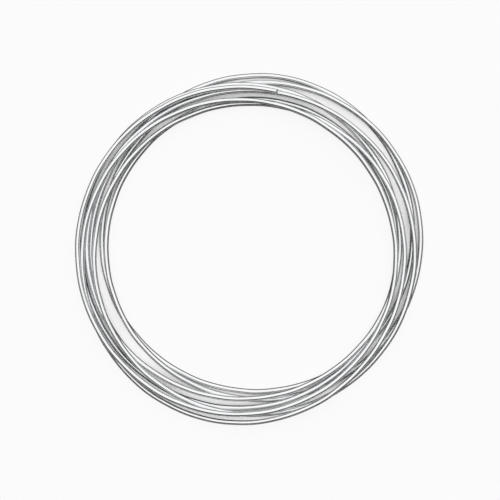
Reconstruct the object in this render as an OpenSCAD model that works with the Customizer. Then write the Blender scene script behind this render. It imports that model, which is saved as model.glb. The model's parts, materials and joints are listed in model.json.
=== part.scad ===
// Coil of bright aluminium craft wire, lying flat.
//
// The coil is one length of round wire wound into a loose ring.  It is built
// here as one turned solid: the clear eye is a true cylinder, and the turns
// show as rounded ridges on both ends and up the outside.
// Origin: centre of the face that the coil lies on.  +Z is the coil's axis.

/* [Wire] */
// Diameter of the wire
wire_d = 2; // [1:0.1:4]

/* [Coil] */
// Clear width of the eye
eye_d = 115; // [60:1:240]
// Turns side by side between the eye and the outside
turns_across = 7; // [2:1:16]
// Turns on top of one another where the coil is highest
layers = 4; // [2:1:10]
// Depth of the grooves between neighbouring turns, as a share of the wire's radius
groove_share = 0.6; // [0.1:0.05:0.9]

/* [Hidden] */

$fn = 96;
wire_r = wire_d / 2;
eye_r = eye_d / 2;
// Centre lines of the innermost and outermost turns, and of the lowest and highest layers
inner_turn_r = eye_r + wire_r;
outer_turn_r = inner_turn_r + (turns_across - 1) * wire_d;
low_layer_z = wire_r;
high_layer_z = low_layer_z + (layers - 1) * wire_d;
// How far the packed middle reaches past the centre lines of the turns that show
fill = wire_r * (1 - groove_share);

// Centres of the turns that show: a row on each end and a column up the outside
end_turns = [for (i = [0:turns_across - 1], z = [low_layer_z, high_layer_z])
    [inner_turn_r + i * wire_d, z]];
side_turns = [for (j = [0:layers - 1]) [outer_turn_r, low_layer_z + j * wire_d]];

// Half section of the wound band, from the eye outwards
module band_section() {
    for (c = concat(end_turns, side_turns)) translate(c) circle(r = wire_r);
    // Packed middle, filled to the bottom of the grooves on the ends and the outside
    translate([inner_turn_r, low_layer_z - fill])
        square([outer_turn_r - inner_turn_r, high_layer_z - low_layer_z + 2 * fill]);
    translate([eye_r, low_layer_z])
        square([outer_turn_r + fill - eye_r, high_layer_z - low_layer_z]);
}

module wire_coil() {
    color("silver") rotate_extrude($fn = 180) band_section();
}

wire_coil();
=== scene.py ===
"""The looks of a coil of bright aluminium craft wire, lying flat.

The coil is one length of round wire.  Each turn is a ring that has slid a little
off centre, so the turns cross over one another all the way round.  The script works
out where the wire runs in plan, lets it settle on the floor and on its own lower
turns, and sweeps the round wire along that line.
"""
import json
import math

import bpy
import numpy as np
from bpy.props import FloatProperty, FloatVectorProperty, PointerProperty
from bpy.types import Operator, Panel, PropertyGroup
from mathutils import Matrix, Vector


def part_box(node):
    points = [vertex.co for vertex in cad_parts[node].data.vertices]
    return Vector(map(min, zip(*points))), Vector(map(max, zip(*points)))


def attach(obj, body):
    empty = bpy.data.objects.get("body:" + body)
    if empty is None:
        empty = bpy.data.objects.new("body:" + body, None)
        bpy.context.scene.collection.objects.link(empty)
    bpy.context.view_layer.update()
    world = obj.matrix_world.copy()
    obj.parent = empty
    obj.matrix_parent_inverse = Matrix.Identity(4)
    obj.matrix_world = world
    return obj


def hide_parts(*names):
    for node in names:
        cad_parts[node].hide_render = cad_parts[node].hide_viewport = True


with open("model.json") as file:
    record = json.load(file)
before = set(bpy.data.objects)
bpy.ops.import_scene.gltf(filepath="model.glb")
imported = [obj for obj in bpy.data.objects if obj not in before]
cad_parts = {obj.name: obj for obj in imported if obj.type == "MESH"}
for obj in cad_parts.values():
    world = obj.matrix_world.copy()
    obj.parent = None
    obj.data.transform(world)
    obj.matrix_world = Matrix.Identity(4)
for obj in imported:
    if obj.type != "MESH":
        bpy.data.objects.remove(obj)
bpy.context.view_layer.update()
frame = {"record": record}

bl_info = {
    "name": "Coil of Craft Wire",
    "version": (1, 0, 0),
    "blender": (4, 5, 0),
    "location": "3D View > Sidebar > Coil",
    "description": "Builds a loose coil of bright round wire, its finish and a plain stage",
    "category": "Add Mesh",
}

CAD_NODE = "wire_coil"
NODE_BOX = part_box(CAD_NODE)

# Sizes of the wound ring, in metres, from the frame
EYE_R = next(m["dims"]["r_mm"] for m in frame["record"]["mounts"] if m["name"] == "eye") / 1000
OUTER_R = NODE_BOX[1].x
TURNS_ACROSS = 7
WIRE_D = (OUTER_R - EYE_R) / TURNS_ACROSS
MIDDLE_R = (EYE_R + OUTER_R) / 2

# How far the wire runs outside (+) or inside (-) the ring's middle line, in millimetres.
# Each row is one turn, from the cut end on top down to the end underneath, and the last is half a turn.
TURN_SWAYS_MM = (
    (0.5, 4.25, 5.5, 3.5, -1.75, -5.5),
    (-4.5, 0.25, 5.0, 7.0, 1.5, -2.0),
    (-4.75, -3.75, -0.25, 2.75, 4.0, 2.5),
    (0.25, 1.5, 1.25, -2.75, -4.25, -1.75),
    (2.0, 4.75, 4.0, 1.25, -3.0, -3.5),
    (-2.75, -5.0, -6.0, -3.75, 2.0, 6.75),
    (4.5, -1.25, -5.25, -6.5, -2.0, 4.5),
    (7.25, 1.5, 0.5, 0.5),
)
SWAYS_PER_TURN = len(TURN_SWAYS_MM[0])
TOP_END_ANGLE = math.radians(79.6)

# The slight waviness that wire keeps from being handled: (waves to a turn, share, phase).
# The drift keeps them from fitting a whole number of times into a turn, so no two turns wave alike.
WAVES = ((7, 0.4, 0.3), (11, 0.7, 2.1), (17, 1.0, 4.4), (29, 0.6, 1.2))
WAVE_DRIFT = 1.013

# How the wire settles: its stiffness, then in each round how far it drops, in wire diameters,
# and how many times its turns push one another apart, the upper and the lower by these shares
STIFFNESS = 300
SETTLING_ROUNDS = 400
SETTLING_DROP = 1 / 100
PUSHES = 3
UPPER_GIVES = 0.7
LOWER_GIVES = 0.3

# The swept wire
SIDES = 28
RINGS_PER_TURN = 240
SHARP_EDGE = math.radians(35)
# The cutters pinch each end to a wedge: (distance back from the tip, width, height), in wire radii.
# The even rings of the wire start this much further in.
CUT_END = ((0.0, 0.9, 0.2), (0.05, 0.96, 0.28), (0.8, 1.0, 1.0))
RING_CLEARANCE = 0.25
# The bake map holds the wire in rows, one above another, and both cut faces in the row after them
RINGS_PER_ROW = RINGS_PER_TURN // 3
ROW_MARGIN = 0.05

# Noise values between which the metal goes from bright to dull, and from its smoothest to roughest
DULL_RAMP = (0.35, 0.68)
LINE_RAMP = (0.3, 0.7)
# Over how much noise a rub fades in, what it adds to the roughness, and its depth in line heights
RUB_FADE = 0.12
RUB_ROUGHNESS = 0.14
RUB_DEPTH = 1.2

# The stage, in metres: a round floor, whose far edge curves up and fades to this tone at its top
FLOOR_R = 2.0
FLOOR_SIDES = 96
RIM_R = 0.55
RIM_STEPS = 12
RIM_TOP_TONE = 0.28
# The camera looks straight down from just off the coil's axis, at a frame of this width
EYE_X = 0.0004
EYE_Y = -0.0004
FRAME_WIDTH = 0.20408
LENS_MM = 90
SENSOR_MM = 36

# The floor looks white, but for this share of its true lit colour.  Where the coil closes it in
# (less of the sky is open to it within a short reach) nearly all of its true shadow shows.
LIT_SHARE = 0.1
LIT_SHARE_CLOSED = 0.9
CLOSED_REACH = 0.01
CLOSED_SKY = 0.2
OPEN_SKY = 0.42
# In the metal it shows with a painted shade round the coil, which fades away from the ring's middle line
PAINTED_SHADE_START = 0.008
PAINTED_SHADE_END = 0.25
PAINTED_SHADE_TONE = 0.07

# The soft light: a broad disc in the sky that leans towards +Y
LIGHT_LEAN = math.radians(30)
LIGHT_SPREAD = math.radians(54)
LIGHT_EDGE = math.radians(5)
# The dim surroundings are brighter towards +Y: (share of +Y in the direction, strength)
DIM_AWAY = (0.6, 0.06)
DIM_TOWARDS = (0.98, 0.2)


def smooth_curve(values, at):
    """The smoothest curve through values that stand one step apart, read at the places in at."""
    values = np.asarray(values, float)
    count = len(values)
    bend = np.eye(count)
    pull = np.zeros(count)
    for i in range(1, count - 1):
        bend[i, i - 1:i + 2] = 1, 4, 1
        pull[i] = 6 * (values[i - 1] - 2 * values[i] + values[i + 1])
    curvature = np.linalg.solve(bend, pull)
    i = np.clip(np.floor(at).astype(int), 0, count - 2)
    after = at - i
    before = 1 - after
    straight = before * values[i] + after * values[i + 1]
    bow = (before**3 - before) * curvature[i] + (after**3 - after) * curvature[i + 1]
    return straight + bow / 6


def settled_heights(radius, per_turn, wire_d):
    """Height of the wire's centre line: every turn lies on the floor and on the turns below it."""
    count = len(radius)
    # Where an upper turn passes over a lower one, and how much higher its middle has to be there
    upper, lower, rise = [], [], []
    for turns_apart in range(1, count // per_turn + 1):
        top = np.arange(count - turns_apart * per_turn)
        under = top + turns_apart * per_turn
        beside = np.abs(radius[top] - radius[under])
        meet = beside < wire_d
        upper.append(top[meet])
        lower.append(under[meet])
        rise.append(np.sqrt(wire_d**2 - beside[meet] ** 2))
    upper = np.concatenate(upper)
    lower = np.concatenate(lower)
    rise = np.concatenate(rise)
    floor = wire_d / 2

    def seated(height):
        """These heights, raised turn by turn from the lowest until no turn is inside another."""
        height = np.maximum(height, floor)
        for end in range(count, 0, -per_turn):
            turn = (upper >= end - per_turn) & (upper < end)
            np.maximum.at(height, upper[turn], height[lower[turn]] + rise[turn])
        return height

    bends = np.zeros((count - 2, count))
    for i in range(count - 2):
        bends[i, i:i + 3] = 1, -2, 1
    straighten = np.linalg.inv(np.eye(count) + STIFFNESS * bends.T @ bends)
    height = seated(np.full(count, floor))
    for _ in range(SETTLING_ROUNDS):
        height = straighten @ (height - SETTLING_DROP * wire_d)
        for _ in range(PUSHES):
            short = height[lower] + rise - height[upper]
            inside = short > 0
            move = np.zeros(count)
            met = np.zeros(count)
            np.add.at(move, upper[inside], UPPER_GIVES * short[inside])
            np.add.at(move, lower[inside], -LOWER_GIVES * short[inside])
            np.add.at(met, upper[inside], 1)
            np.add.at(met, lower[inside], 1)
            height = np.maximum(height + move / np.maximum(met, 1), floor)
    return seated(height)


def wire_line(coil):
    """Points along the middle of the wire, and how far along it each one is, in metres."""
    solve_per_turn = RINGS_PER_TURN // 2
    steps = int(round(coil.wire_turns * solve_per_turn))
    turn = np.arange(steps + 1) / solve_per_turn
    sways = np.concatenate([np.array(row) / 1000 for row in TURN_SWAYS_MM])
    radius = coil.middle_radius + smooth_curve(sways, turn * SWAYS_PER_TURN)
    for per_turn, share, phase in WAVES:
        radius += coil.waviness * share * np.sin(2 * math.pi * per_turn * WAVE_DRIFT * turn + phase)
    height = settled_heights(radius, solve_per_turn, coil.wire_diameter)
    fine = np.arange(2 * steps + 1) / 2
    radius = smooth_curve(radius, fine)
    height = np.maximum(smooth_curve(height, fine), coil.wire_diameter / 2)
    angle = TOP_END_ANGLE + 2 * math.pi * fine / solve_per_turn
    line = np.stack([radius * np.cos(angle), radius * np.sin(angle), height], 1)
    along = np.concatenate([[0], np.cumsum(np.linalg.norm(np.diff(line, axis=0), axis=1))])
    return line, along


def cut_end_rings(radius, line, along, forward, tip, inward):
    """The rings of the cut end at that point of the line, from its tip inward (1 or -1)."""
    rings = []
    for back, width, height in CUT_END:
        step = inward * radius * back
        rings.append((line[tip] + step * forward[tip], tip, (width, height), along[tip] + step))
    return rings


def wire_rings(radius, line, along, forward):
    """The wire's rings: (centre, its point on the line, (width, height) in radii, distance along)."""
    head = cut_end_rings(radius, line, along, forward, 0, 1)
    tail = cut_end_rings(radius, line, along, forward, len(line) - 1, -1)[::-1]
    first = np.searchsorted(along, head[-1][3] + RING_CLEARANCE * radius)
    last = np.searchsorted(along, tail[0][3] - RING_CLEARANCE * radius)
    return head + [(line[i], i, (1.0, 1.0), along[i]) for i in range(first, last)] + tail


def bake_map(mesh, gaps):
    """The wire laid out flat in rows, and its two cut faces beside each other in the last row."""
    rows = -(-gaps // RINGS_PER_ROW) + 1
    places = []
    for i in range(gaps):
        row, step = divmod(i, RINGS_PER_ROW)
        left, right = (ROW_MARGIN / 2 + (1 - ROW_MARGIN) * (step + k) / RINGS_PER_ROW for k in (0, 1))
        for j in range(SIDES):
            low, high = ((row + ROW_MARGIN + (1 - 2 * ROW_MARGIN) * (j + k) / SIDES) / rows for k in (0, 1))
            places += [(left, low), (right, low), (right, high), (left, high)]
    # The cut faces fill the last row's height, side by side, with half a face between them
    face_r = (0.5 - ROW_MARGIN) / rows
    middle = (rows - 0.5) / rows
    for centre, order in ((2 * face_r, (0, 1)), (5 * face_r, (1, 0))):
        for j in range(SIDES):
            places.append((centre, middle))
            for k in order:
                turn = 2 * math.pi * (j + k) / SIDES
                places.append((centre + face_r * math.cos(turn), middle + face_r * math.sin(turn)))
    layer = mesh.uv_layers.new(name="OFBake")
    layer.uv.foreach_set("vector", np.array(places, np.float32).ravel())


def wire_mesh(coil, line, along):
    """The round wire swept along its line, pinched to a wedge and closed by a cut face at each end."""
    radius = coil.wire_diameter / 2
    forward = np.gradient(line, axis=0)
    forward /= np.linalg.norm(forward, axis=1)[:, None]
    across = np.cross(forward, (0, 0, 1))
    across /= np.linalg.norm(across, axis=1)[:, None]
    up = np.cross(across, forward)
    turn = 2 * math.pi * np.arange(SIDES) / SIDES
    sin, cos = np.sin(turn)[:, None], np.cos(turn)[:, None]
    points, straight = [], []
    rings = wire_rings(radius, line, along, forward)
    for centre, i, (width, height), distance in rings:
        beside, above = radius * width * cos, radius * height * sin
        points.append(centre + beside * across[i] + above * up[i])
        straight.append(np.concatenate([np.full((SIDES, 1), distance), beside, above], 1))
    points = np.concatenate(points + [line[:1], line[-1:]])
    ends = np.array([[along[0], 0, 0], [along[-1], 0, 0]])
    straight = np.concatenate(straight + [ends])

    count = len(rings)
    faces = []
    for i in range(count - 1):
        for j in range(SIDES):
            k = (j + 1) % SIDES
            faces.append((i * SIDES + j, (i + 1) * SIDES + j, (i + 1) * SIDES + k, i * SIDES + k))
    walls = len(faces)
    start, finish = count * SIDES, count * SIDES + 1
    last_ring = (count - 1) * SIDES
    for j in range(SIDES):
        faces.append((start, j, (j + 1) % SIDES))
    for j in range(SIDES):
        faces.append((finish, last_ring + (j + 1) % SIDES, last_ring + j))

    mesh = bpy.data.meshes.new("wire")
    mesh.from_pydata(points.tolist(), [], faces)
    place = mesh.attributes.new("straight_wire", "FLOAT_VECTOR", "POINT")
    place.data.foreach_set("vector", straight.astype(np.float32).ravel())
    # The wedges' sides and the cut faces have the second material, the sheared metal
    slots = np.zeros(len(faces), np.int32)
    sheared = (len(CUT_END) - 1) * SIDES
    slots[:sheared] = 1
    slots[walls - sheared:] = 1
    mesh.polygons.foreach_set("material_index", slots)
    mesh.polygons.foreach_set("use_smooth", np.ones(len(faces), bool))
    mesh.set_sharp_from_angle(angle=SHARP_EDGE)
    bake_map(mesh, count - 1)
    return mesh


def node(tree, kind, at, links=None, **values):
    """A new node of that kind, with its properties set, and by socket its inputs set or linked."""
    made = tree.nodes.new(kind)
    made.location = at
    for name, value in values.items():
        setattr(made, name, value)
    for socket, source in (links or {}).items():
        if isinstance(source, bpy.types.NodeSocket):
            tree.links.new(source, made.inputs[socket])
        else:
            made.inputs[socket].default_value = source
    return made


def new_group(name, inputs, outputs):
    """An empty shader node group with these named sockets, and its input and output nodes."""
    group = bpy.data.node_groups.new(name, "ShaderNodeTree")
    for label, kind, value in inputs:
        socket = group.interface.new_socket(label, in_out="INPUT", socket_type="NodeSocket" + kind)
        socket.default_value = value
    for label, kind in outputs:
        group.interface.new_socket(label, in_out="OUTPUT", socket_type="NodeSocket" + kind)
    return group, node(group, "NodeGroupInput", (-1000, 0)), node(group, "NodeGroupOutput", (500, 0))


def metal_tone():
    """Node group: the metal's colour, a little duller and cooler where its oxide is thicker."""
    group, given, result = new_group(
        "metal_tone",
        [("Place", "Vector", (0, 0, 0)), ("Bright", "Color", (1, 1, 1, 1)), ("Dull", "Color", (1, 1, 1, 1)),
         ("Patch Size", "Float", 0.01)],
        [("Colour", "Color")])
    scale = node(group, "ShaderNodeMath", (-800, -150), {0: 1.0, 1: given.outputs["Patch Size"]},
                 operation="DIVIDE")
    cloud = node(group, "ShaderNodeTexNoise", (-600, 0),
                 {"Vector": given.outputs["Place"], "Scale": scale.outputs[0], "Detail": 4.0})
    share = node(group, "ShaderNodeMapRange", (-300, 0),
                 {"Value": cloud.outputs["Fac"], "From Min": DULL_RAMP[0], "From Max": DULL_RAMP[1]},
                 interpolation_type="SMOOTHSTEP")
    colour = node(group, "ShaderNodeMix", (100, 0),
                  {0: share.outputs[0], 6: given.outputs["Bright"], 7: given.outputs["Dull"]},
                  data_type="RGBA")
    group.links.new(colour.outputs[2], result.inputs["Colour"])
    return group


def tool_lines():
    """Node group: the fine parallel lines that a die or a cutter leaves, running along the place's X."""
    group, given, result = new_group(
        "tool_lines",
        [("Place", "Vector", (0, 0, 0)), ("Line Width", "Float", 0.0001), ("Line Length", "Float", 0.02),
         ("Smoothest", "Float", 0.2), ("Roughest", "Float", 0.3)],
        [("Roughness", "Float"), ("Height", "Float")])
    stretch = node(group, "ShaderNodeCombineXYZ", (-800, 150),
                   {0: given.outputs["Line Length"], 1: given.outputs["Line Width"],
                    2: given.outputs["Line Width"]})
    place = node(group, "ShaderNodeVectorMath", (-600, 100),
                 {0: given.outputs["Place"], 1: stretch.outputs[0]}, operation="DIVIDE")
    lines = node(group, "ShaderNodeTexNoise", (-400, 100),
                 {"Vector": place.outputs[0], "Scale": 1.0, "Detail": 3.0, "Roughness": 0.6})
    rough = node(group, "ShaderNodeMapRange", (100, 100),
                 {"Value": lines.outputs["Fac"], "From Min": LINE_RAMP[0], "From Max": LINE_RAMP[1],
                  "To Min": given.outputs["Smoothest"], "To Max": given.outputs["Roughest"]})
    group.links.new(rough.outputs[0], result.inputs["Roughness"])
    group.links.new(lines.outputs["Fac"], result.inputs["Height"])
    return group


def handling_marks():
    """Node group: scattered shallow rubs where the wire has slid over its own turns."""
    group, given, result = new_group(
        "handling_marks",
        [("Place", "Vector", (0, 0, 0)), ("Mark Width", "Float", 0.0005), ("Mark Length", "Float", 0.002),
         ("Rarity", "Float", 0.6)],
        [("Mask", "Float")])
    stretch = node(group, "ShaderNodeCombineXYZ", (-800, 150),
                   {0: given.outputs["Mark Length"], 1: given.outputs["Mark Width"],
                    2: given.outputs["Mark Width"]})
    place = node(group, "ShaderNodeVectorMath", (-600, 100),
                 {0: given.outputs["Place"], 1: stretch.outputs[0]}, operation="DIVIDE")
    marks = node(group, "ShaderNodeTexNoise", (-400, 100),
                 {"Vector": place.outputs[0], "Scale": 1.0, "Detail": 2.0, "Distortion": 0.6})
    full = node(group, "ShaderNodeMath", (-400, -150), {0: given.outputs["Rarity"], 1: RUB_FADE},
                operation="ADD")
    mask = node(group, "ShaderNodeMapRange", (100, 100),
                {"Value": marks.outputs["Fac"], "From Min": given.outputs["Rarity"],
                 "From Max": full.outputs[0]},
                interpolation_type="SMOOTHSTEP")
    group.links.new(mask.outputs[0], result.inputs["Mask"])
    return group


def node_group(name, maker):
    """The node group of that name, made the first time that it is asked for."""
    return bpy.data.node_groups.get(name) or maker()


def metal_finish(name, place_from, bright, dull, patch, lines, marks, bump):
    """Bare metal from the three shared effects: its tone, its tool lines and its handling marks."""
    made = bpy.data.materials.new(name)
    made.use_nodes = True
    tree = made.node_tree
    tree.nodes.clear()
    place = place_from(tree)

    def effect(label, maker, at, values):
        """One of the shared effects, placed on this metal and set to these values."""
        return node(tree, "ShaderNodeGroup", at, {"Place": place, **values},
                    node_tree=node_group(label, maker))

    tone = effect("metal_tone", metal_tone, (-700, 300),
                  {"Bright": (*bright, 1), "Dull": (*dull, 1), "Patch Size": patch})
    drawn = effect("tool_lines", tool_lines, (-700, 50), lines)
    rubbed = effect("handling_marks", handling_marks, (-700, -250), marks)
    roughness = node(tree, "ShaderNodeMath", (-400, 0),
                     {0: rubbed.outputs["Mask"], 1: RUB_ROUGHNESS, 2: drawn.outputs["Roughness"]},
                     operation="MULTIPLY_ADD")
    height = node(tree, "ShaderNodeMath", (-400, -200),
                  {0: rubbed.outputs["Mask"], 1: -RUB_DEPTH, 2: drawn.outputs["Height"]},
                  operation="MULTIPLY_ADD")
    relief = node(tree, "ShaderNodeBump", (-150, -200), {"Height": height.outputs[0], "Distance": bump})
    shader = node(tree, "ShaderNodeBsdfPrincipled", (100, 0),
                  {"Base Color": tone.outputs["Colour"], "Metallic": 1.0,
                   "Roughness": roughness.outputs[0], "Normal": relief.outputs[0]})
    node(tree, "ShaderNodeOutputMaterial", (400, 0), {"Surface": shader.outputs["BSDF"]})
    return made


def along_the_wire(tree):
    """Socket with the place on the wire pulled straight: distance along it, across, and up."""
    return node(tree, "ShaderNodeAttribute", (-1200, 0), attribute_name="straight_wire").outputs["Vector"]


def across_the_cut(tree):
    """The same place turned so that the cutter's lines run up and down the cut face."""
    straight = node(tree, "ShaderNodeSeparateXYZ", (-1100, 0), {0: along_the_wire(tree)})
    turned = node(tree, "ShaderNodeCombineXYZ", (-900, 0),
                  {0: straight.outputs["Z"], 1: straight.outputs["Y"], 2: straight.outputs["X"]})
    return turned.outputs[0]


def drawn_finish(look):
    """Bright drawn aluminium: lines along the wire, and a rub here and there."""
    rough = look.wire_roughness
    return metal_finish(
        "bright_drawn_aluminium", along_the_wire,
        bright=look.wire_colour, dull=look.dull_colour, patch=0.012,
        lines={"Line Width": 0.00012, "Line Length": 0.03,
               "Smoothest": rough - 0.05, "Roughest": rough + 0.07},
        marks={"Mark Width": 0.0005, "Mark Length": 0.0022, "Rarity": 0.62},
        bump=0.000006)


def sheared_finish(look):
    """The cut ends: the same metal, torn duller by the cutters."""
    rough = look.wire_roughness
    return metal_finish(
        "sheared_aluminium", across_the_cut,
        bright=look.wire_colour, dull=look.dull_colour, patch=0.0008,
        lines={"Line Width": 0.00015, "Line Length": 0.003,
               "Smoothest": rough + 0.1, "Roughest": rough + 0.25},
        marks={"Mark Width": 0.0004, "Mark Length": 0.0008, "Rarity": 0.56},
        bump=0.00003)


def floor_finish(look):
    """Pale matt floor: white, its true shadow among the wires, and a painted shade round the coil that only
    the metal mirrors.
    """
    made = bpy.data.materials.new("pale_floor")
    made.use_nodes = True
    tree = made.node_tree
    tree.nodes.clear()
    path = node(tree, "ShaderNodeLightPath", (-1100, 400))
    sky = node(tree, "ShaderNodeAmbientOcclusion", (-1100, 700), {"Distance": CLOSED_REACH}, samples=8)
    white = node(tree, "ShaderNodeMapRange", (-900, 700),
                 {"Value": sky.outputs["AO"], "From Min": CLOSED_SKY, "From Max": OPEN_SKY,
                  "To Min": 1 - LIT_SHARE_CLOSED, "To Max": 1 - LIT_SHARE})
    seen = node(tree, "ShaderNodeMath", (-700, 500), {0: path.outputs["Is Camera Ray"], 1: white.outputs[0]},
                operation="MULTIPLY")
    mirrored = node(tree, "ShaderNodeMath", (-450, 400),
                    {0: seen.outputs[0], 1: path.outputs["Is Glossy Ray"]}, operation="ADD")
    passed = node(tree, "ShaderNodeMath", (-200, 300),
                  {0: mirrored.outputs[0], 1: path.outputs["Is Transmission Ray"]},
                  operation="ADD", use_clamp=True)

    place = node(tree, "ShaderNodeNewGeometry", (-1700, -100)).outputs["Position"]
    plan = node(tree, "ShaderNodeVectorMath", (-1500, 0), {0: place, 1: (1, 1, 0)}, operation="MULTIPLY")
    out = node(tree, "ShaderNodeVectorMath", (-1300, 0), {0: plan.outputs[0]}, operation="LENGTH")
    off = node(tree, "ShaderNodeMath", (-1100, 0), {0: out.outputs["Value"], 1: MIDDLE_R},
               operation="SUBTRACT")
    away = node(tree, "ShaderNodeMath", (-900, 0), {0: off.outputs[0]}, operation="ABSOLUTE")
    # Painted shade: the floor's glow, as the metal mirrors it, is darkened close to the ring's middle line
    # to stand in for the coil's shadow, while the camera still sees it white
    shade = node(tree, "ShaderNodeMapRange", (-700, 0),
                 {"Value": away.outputs[0], "From Min": PAINTED_SHADE_START, "From Max": PAINTED_SHADE_END,
                  "To Min": PAINTED_SHADE_TONE},
                 interpolation_type="SMOOTHSTEP")
    kept = node(tree, "ShaderNodeMath", (-450, 100),
                {0: shade.outputs[0], 1: path.outputs["Is Camera Ray"]}, operation="MAXIMUM")
    height = node(tree, "ShaderNodeSeparateXYZ", (-1300, -300), {0: place})
    fade = node(tree, "ShaderNodeMapRange", (-1100, -300),
                {"Value": height.outputs["Z"], "From Max": RIM_R, "To Min": 1.0, "To Max": RIM_TOP_TONE})
    strength = node(tree, "ShaderNodeMath", (-200, 0), {0: kept.outputs[0], 1: fade.outputs[0]},
                    operation="MULTIPLY")
    pale = node(tree, "ShaderNodeEmission", (0, 0), {"Strength": strength.outputs[0]})
    lit = node(tree, "ShaderNodeBsdfDiffuse", (0, -200), {"Color": (*look.floor_colour, 1)})
    mix = node(tree, "ShaderNodeMixShader", (250, 0),
               {0: passed.outputs[0], 1: lit.outputs[0], 2: pale.outputs[0]})
    node(tree, "ShaderNodeOutputMaterial", (450, 0), {"Surface": mix.outputs[0]})
    return made


def floor_mesh():
    """A round floor whose far edge curves up into a low backdrop all the way round."""
    points = [(0, 0, 0)]
    for step in range(RIM_STEPS + 1):
        rise = math.pi / 2 * step / RIM_STEPS
        r = FLOOR_R + RIM_R * math.sin(rise)
        z = RIM_R * (1 - math.cos(rise))
        for k in range(FLOOR_SIDES):
            turn = 2 * math.pi * k / FLOOR_SIDES
            points.append((r * math.cos(turn), r * math.sin(turn), z))
    faces = []
    for k in range(FLOOR_SIDES):
        beside = (k + 1) % FLOOR_SIDES
        faces.append((0, 1 + k, 1 + beside))
        for step in range(RIM_STEPS):
            lower = 1 + step * FLOOR_SIDES
            upper = lower + FLOOR_SIDES
            faces.append((lower + k, upper + k, upper + beside, lower + beside))
    mesh = bpy.data.meshes.new("floor")
    mesh.from_pydata(points, [], faces)
    mesh.polygons.foreach_set("use_smooth", np.ones(len(faces), bool))
    return mesh


def studio_light(look):
    """World: one broad soft disc of light overhead, leaning towards +Y, over dim surroundings."""
    world = bpy.data.worlds.new("studio")
    world.use_nodes = True
    tree = world.node_tree
    tree.nodes.clear()
    place = node(tree, "ShaderNodeTexCoord", (-900, 0)).outputs["Generated"]
    middle = (0, math.sin(LIGHT_LEAN), math.cos(LIGHT_LEAN))
    towards = node(tree, "ShaderNodeVectorMath", (-700, 200), {0: place, 1: middle}, operation="DOT_PRODUCT")
    inside = node(tree, "ShaderNodeMapRange", (-500, 200),
                  {"Value": towards.outputs["Value"], "From Min": math.cos(LIGHT_SPREAD + LIGHT_EDGE),
                   "From Max": math.cos(LIGHT_SPREAD - LIGHT_EDGE)}, interpolation_type="SMOOTHSTEP")
    split = node(tree, "ShaderNodeSeparateXYZ", (-700, -200), {0: place})
    dim = node(tree, "ShaderNodeMapRange", (-500, -200),
               {"Value": split.outputs["Y"], "From Min": DIM_AWAY[0], "From Max": DIM_TOWARDS[0],
                "To Min": DIM_AWAY[1], "To Max": DIM_TOWARDS[1]},
               interpolation_type="SMOOTHSTEP")
    strength = node(tree, "ShaderNodeMix", (-250, 0),
                    {0: inside.outputs[0], 2: dim.outputs[0], 3: look.light_strength}, data_type="FLOAT")
    back = node(tree, "ShaderNodeBackground", (0, 0),
                {"Color": (1, 1, 1, 1), "Strength": strength.outputs[0]})
    node(tree, "ShaderNodeOutputWorld", (200, 0), {"Surface": back.outputs[0]})
    return world


class CoilSizes(PropertyGroup):
    """Sizes of the wire, and of the ring that it is wound into"""
    wire_diameter: FloatProperty(
        name="Wire diameter", description="Thickness of the round wire",
        default=WIRE_D, min=0.0005, max=0.005, precision=4, unit="LENGTH")
    middle_radius: FloatProperty(
        name="Middle radius", description="From the coil's axis to the middle of the wound ring",
        default=MIDDLE_R, min=0.02, max=0.2, precision=4, unit="LENGTH")
    wire_turns: FloatProperty(
        name="Turns", description="Turns of wire from the cut end on top to the end underneath",
        default=7.38, min=1, max=7.5)
    waviness: FloatProperty(
        name="Waviness", description="How far the wire strays from an even curve",
        default=0.00004, min=0, max=0.0005, precision=5, unit="LENGTH")


class CoilLook(PropertyGroup):
    """Colours and finish of the wire, the floor and the light"""
    wire_colour: FloatVectorProperty(
        name="Wire colour", description="Colour of the bare metal where it is brightest",
        default=(0.83, 0.835, 0.84), size=3, min=0, max=1, subtype="COLOR")
    dull_colour: FloatVectorProperty(
        name="Dull colour", description="Colour of the metal under a thicker oxide",
        default=(0.785, 0.79, 0.8), size=3, min=0, max=1, subtype="COLOR")
    wire_roughness: FloatProperty(
        name="Wire roughness", description="How satin the drawn surface is",
        default=0.12, min=0.06, max=0.7, subtype="FACTOR")
    floor_colour: FloatVectorProperty(
        name="Floor colour", description="Colour of the plain floor",
        default=(0.93, 0.93, 0.93), size=3, min=0, max=1, subtype="COLOR")
    light_strength: FloatProperty(
        name="Light strength", description="Brightness of the soft overhead light",
        default=1.18, min=0, max=5)


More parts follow.
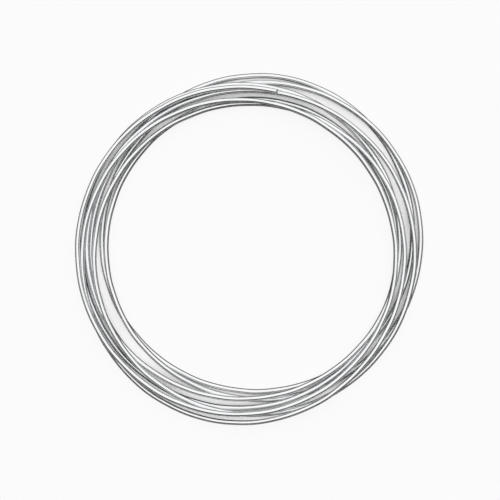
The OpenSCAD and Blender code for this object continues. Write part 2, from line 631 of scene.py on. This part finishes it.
class COIL_OT_wire(Operator):
    """Build the wire, coiled and settled, with its finish"""
    bl_idname = "coil.build_wire"
    bl_label = "Build the wire"

    def execute(self, context):
        coil = context.scene.coil_sizes
        look = context.scene.coil_look
        line, along = wire_line(coil)
        wire = bpy.data.objects.new("wire", wire_mesh(coil, line, along))
        context.scene.collection.objects.link(wire)
        wire.data.materials.append(drawn_finish(look))
        wire.data.materials.append(sheared_finish(look))
        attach(wire, "root")
        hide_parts(CAD_NODE)
        return {"FINISHED"}


class COIL_OT_stage(Operator):
    """Build the floor, the soft light and the camera"""
    bl_idname = "coil.build_stage"
    bl_label = "Build the stage"

    def execute(self, context):
        scene = context.scene
        look = scene.coil_look
        floor = bpy.data.objects.new("floor", floor_mesh())
        scene.collection.objects.link(floor)
        floor.data.materials.append(floor_finish(look))
        scene.world = studio_light(look)
        lens = bpy.data.cameras.new("camera")
        lens.lens = LENS_MM
        lens.sensor_width = SENSOR_MM
        eye = bpy.data.objects.new("camera", lens)
        scene.collection.objects.link(eye)
        eye.location = (EYE_X, EYE_Y, NODE_BOX[1].z / 2 + FRAME_WIDTH * LENS_MM / SENSOR_MM)
        scene.camera = eye
        scene.view_settings.view_transform = "Standard"
        return {"FINISHED"}


class COIL_PT_panel(Panel):
    """The coil's steps and settings, in the 3D view's sidebar"""
    bl_idname = "COIL_PT_panel"
    bl_label = "Coil of craft wire"
    bl_space_type = "VIEW_3D"
    bl_region_type = "UI"
    bl_category = "Coil"

    def draw(self, context):
        for group in (context.scene.coil_sizes, context.scene.coil_look):
            for name in group.__annotations__:
                self.layout.prop(group, name)
        for step in (COIL_OT_stage, COIL_OT_wire):
            self.layout.operator(step.bl_idname)


CLASSES = (CoilSizes, CoilLook, COIL_OT_wire, COIL_OT_stage, COIL_PT_panel)


def register():
    for made in CLASSES:
        bpy.utils.register_class(made)
    bpy.types.Scene.coil_sizes = PointerProperty(type=CoilSizes)
    bpy.types.Scene.coil_look = PointerProperty(type=CoilLook)


def unregister():
    del bpy.types.Scene.coil_look
    del bpy.types.Scene.coil_sizes
    for made in reversed(CLASSES):
        bpy.utils.unregister_class(made)


def main():
    """Build the stage and the wire."""
    register()
    bpy.ops.coil.build_stage()
    bpy.ops.coil.build_wire()
    bpy.context.view_layer.update()


if __name__ == "__main__":
    main()
